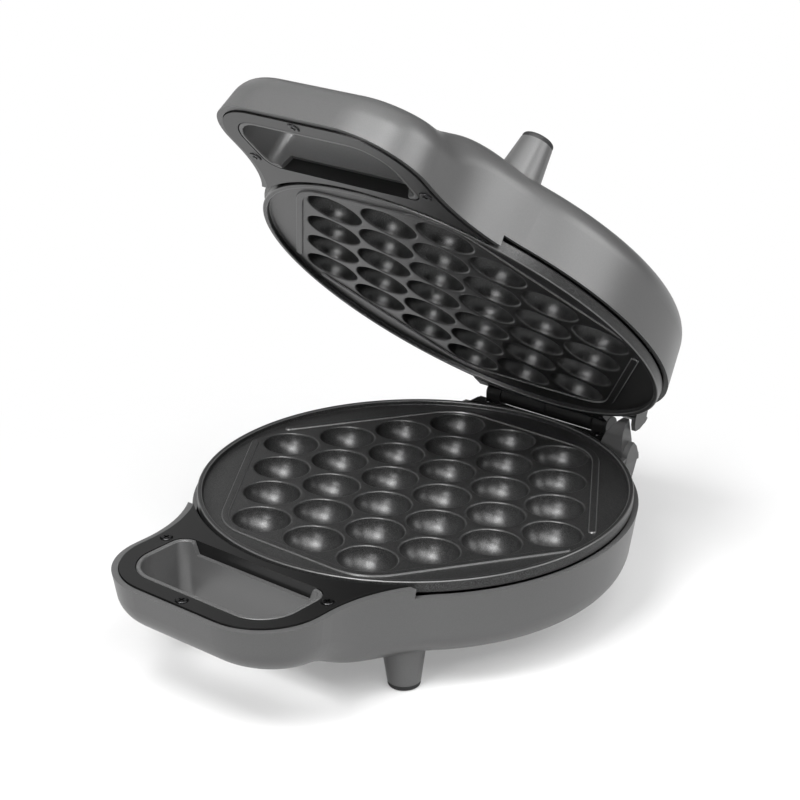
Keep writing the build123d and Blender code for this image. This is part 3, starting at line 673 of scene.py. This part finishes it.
def painted_crest_highlight(points):
    """Share of painted highlight by radius and height over the field: a little on mouth arcs,
    more on bead shoulders and on the lip's rounded edges, none elsewhere."""
    radius, z = np.hypot(points[:, 0], points[:, 1]), points[:, 2]
    field = radius < plate_radius - lip_zone
    mouth = field & (z > -crest_depth) & (z < -level_margin)
    bead_side = field & (z > bead_side_low) & (z < bead_side_high)
    lip = ~field & (z > lip_height - crest_depth) & (z < lip_height - level_margin)
    return np.where(mouth, mouth_highlight_share, np.where(bead_side | lip, crest_line_highlight_share, 0.0))


lower_casting = make_object("lower_casting", plate_points, plate_quads, coating)
upper_casting = make_object("upper_casting", on_the_lid(plate_points), plate_quads, coating)
about_centre = mesh_points(lower_casting) / MM - (0, plate_centre_y / MM, field_height)
highlight_share = painted_crest_highlight(about_centre)
for casting, body, old in ((lower_casting, "base", "lower_plate"),
                           (upper_casting, "lid", "upper_plate")):
    # Each casting gets the painted highlight share of its crests as a point attribute.
    casting.data.attributes.new("painted_highlight", "FLOAT", "POINT").data.foreach_set("value", highlight_share)
    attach(casting, body)
    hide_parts(old)
    corners = mesh_points(casting)
    gap = max(np.abs(corners.min(0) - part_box(old)[0]).max(),
              np.abs(corners.max(0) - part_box(old)[1]).max())
    print(casting.name, "has", len(casting.data.polygons), "faces; its box differs from the",
          "node's by", round(gap / MM, 3), "mm")

# %% [markdown]
# The studio is a plain pale floor that runs into a white surround.  A lit sheet
# of paper alone would turn grey towards the edges of the picture.  So the floor
# is lit paper near the object, where it must hold the shadow, and plain white
# beyond, and the picture ends in pure white on every side.

# %% Floor and surround
PAPER_RADIUS, WHITE_RADIUS = 0.17, 0.33
PAPER_SHARE = 0.7
FLOOR_REACH = 6.0
FLOOR_LEVEL = -0.0002
SURROUND_STRENGTH = 0.05


def make_floor():
    """Wide floor.  Its share of lit paper falls smoothly to nothing between two radii; the
    rest is white to the camera and in reflections."""
    material, tree, output, place = new_material("painted_studio_floor")
    path = node(tree, "ShaderNodeLightPath")
    seen = node(tree, "ShaderNodeMath", {"operation": "MAXIMUM"},
                {0: path.outputs["Is Camera Ray"], 1: path.outputs["Is Glossy Ray"]})
    distance = node(tree, "ShaderNodeVectorMath", {"operation": "LENGTH"},
                    {0: place.outputs["Object"]})
    share = node(tree, "ShaderNodeMapRange",
                 {"interpolation_type": "SMOOTHSTEP", "From Min": PAPER_RADIUS,
                  "From Max": WHITE_RADIUS, "To Min": PAPER_SHARE, "To Max": 0.0},
                 {"Value": distance.outputs["Value"]})
    paper = node(tree, "ShaderNodeBsdfDiffuse", {"Color": colour("#d2d2d2")})
    white = node(tree, "ShaderNodeEmission", {"Color": colour("#ffffff")},
                 {"Strength": seen.outputs[0]})
    both = node(tree, "ShaderNodeMixShader", None,
                {0: share.outputs[0], 1: white.outputs[0], 2: paper.outputs[0]})
    finish_surface(tree, output, both)
    r, z = FLOOR_REACH, FLOOR_LEVEL
    mesh = bpy.data.meshes.new("studio_floor")
    mesh.from_pydata([(-r, -r, z), (r, -r, z), (r, r, z), (-r, r, z)], [], [(0, 1, 2, 3)])
    floor = bpy.data.objects.new("studio_floor", mesh)
    bpy.context.scene.collection.objects.link(floor)
    floor.data.materials.append(material)


def make_surround(strength):
    """World that shows white to the camera and lights the object gently from every side."""
    world = bpy.data.worlds.new("studio_surround")
    bpy.context.scene.world = world
    world.use_nodes = True
    tree = world.node_tree
    tree.nodes.clear()
    path = node(tree, "ShaderNodeLightPath")
    seen = node(tree, "ShaderNodeMath", {"operation": "MAXIMUM"},
                {0: path.outputs["Is Camera Ray"], 1: path.outputs["Is Transmission Ray"]})
    soft = node(tree, "ShaderNodeBackground", {"Color": colour("#ffffff"), "Strength": strength})
    white = node(tree, "ShaderNodeBackground", {"Color": colour("#ffffff"), "Strength": 1.0})
    mix = node(tree, "ShaderNodeMixShader", None,
               {0: seen.outputs[0], 1: soft.outputs[0], 2: white.outputs[0]})
    node(tree, "ShaderNodeOutputWorld", None, {"Surface": mix.outputs[0]})


make_floor()
make_surround(SURROUND_STRENGTH)
print("floor and surround ready")

# %% [markdown]
# Six soft lamps: a key in front and above, which the lower pockets mirror as one
# bright spot each; a low one in front, which the upper pockets mirror; a large one
# overhead; a weak one behind the left side, which brightens the left of the plates;
# one at the right that the lid mirrors; and one behind the right side, which lifts
# the lid's flank off the lower half.  An environment picture could light the scene
# in one step, but single lamps let each spot be placed where it belongs.

# %% Lamps
# name: place and aim in metres, size in metres, power in watts, spread in degrees
lamps = {
    "key_softbox": ((0.10, -0.78, 1.22), (0, 0, 0.06), (0.6, 0.6), 28, 180),
    "low_front_softbox": ((0.14, -1.25, 0.78), (0, 0.10, 0.28), (0.4, 0.4), 0.5, 30),
    "overhead_softbox": ((0.0, 0.2, 1.5), (0, 0, 0.05), (1.5, 1.5), 3, 180),
    "back_left_softbox": ((-1.30, 0.70, 0.70), (0, 0, 0.06), (0.8, 0.7), 1.0, 180),
    "right_softbox": ((0.85, -0.40, 1.25), (0, 0.05, 0.20), (0.9, 0.9), 18, 180),
    "back_right_softbox": ((1.15, 0.75, 0.85), (0, 0.05, 0.20), (0.8, 0.8), 10, 180),
}


def add_lamp(name, place, aim, size, power, spread):
    """Rectangular soft lamp at a place, turned towards an aim point."""
    lamp = bpy.data.lights.new(name, "AREA")
    lamp.shape = "RECTANGLE"
    lamp.size, lamp.size_y = size
    lamp.energy = power
    lamp.spread = math.radians(spread)
    thing = bpy.data.objects.new(name, lamp)
    thing.location = place
    towards = Vector(aim) - Vector(place)
    thing.rotation_euler = towards.to_track_quat("-Z", "Y").to_euler()
    bpy.context.scene.collection.objects.link(thing)


for name, settings in lamps.items():
    add_lamp(name, *settings)
print("placed", len(lamps), "lamps")

# %% [markdown]
# The camera stands to the right of the front and looks down on the plate.  It
# could be aimed with a constraint, but its angles, distance and focal length were
# matched to the photograph, so its matrix is built from them directly.

# %% Camera
IMAGE_SIDE = 800
SENSOR_MM = 36.0
SIGHT_END = 50.0
pixels_per_radian = 2108.46
camera_azimuth = math.radians(40.317)
camera_height_angle = math.radians(22.421)
camera_roll = math.radians(-0.470)
camera_place = Vector((0.58026, -0.69443 + plate_centre_y, 0.47356))

back = Vector((math.sin(camera_azimuth) * math.cos(camera_height_angle),
               -math.cos(camera_azimuth) * math.cos(camera_height_angle),
               math.sin(camera_height_angle)))
side = (-back).cross(Vector((0, 0, 1))).normalized()
upward = side.cross(-back)
rolled_side = math.cos(camera_roll) * side + math.sin(camera_roll) * upward
rolled_up = -math.sin(camera_roll) * side + math.cos(camera_roll) * upward
turn = Matrix((rolled_side, rolled_up, back)).transposed()

lens = bpy.data.cameras.new("photo_camera")
lens.sensor_width = SENSOR_MM
lens.lens = pixels_per_radian / IMAGE_SIDE * lens.sensor_width
lens.clip_end = SIGHT_END
camera = bpy.data.objects.new("photo_camera", lens)
camera.matrix_world = Matrix.Translation(camera_place) @ turn.to_4x4()
bpy.context.scene.collection.objects.link(camera)
bpy.context.scene.camera = camera
bpy.context.scene.view_settings.view_transform = "Standard"
print("lens", round(lens.lens, 2), "mm")
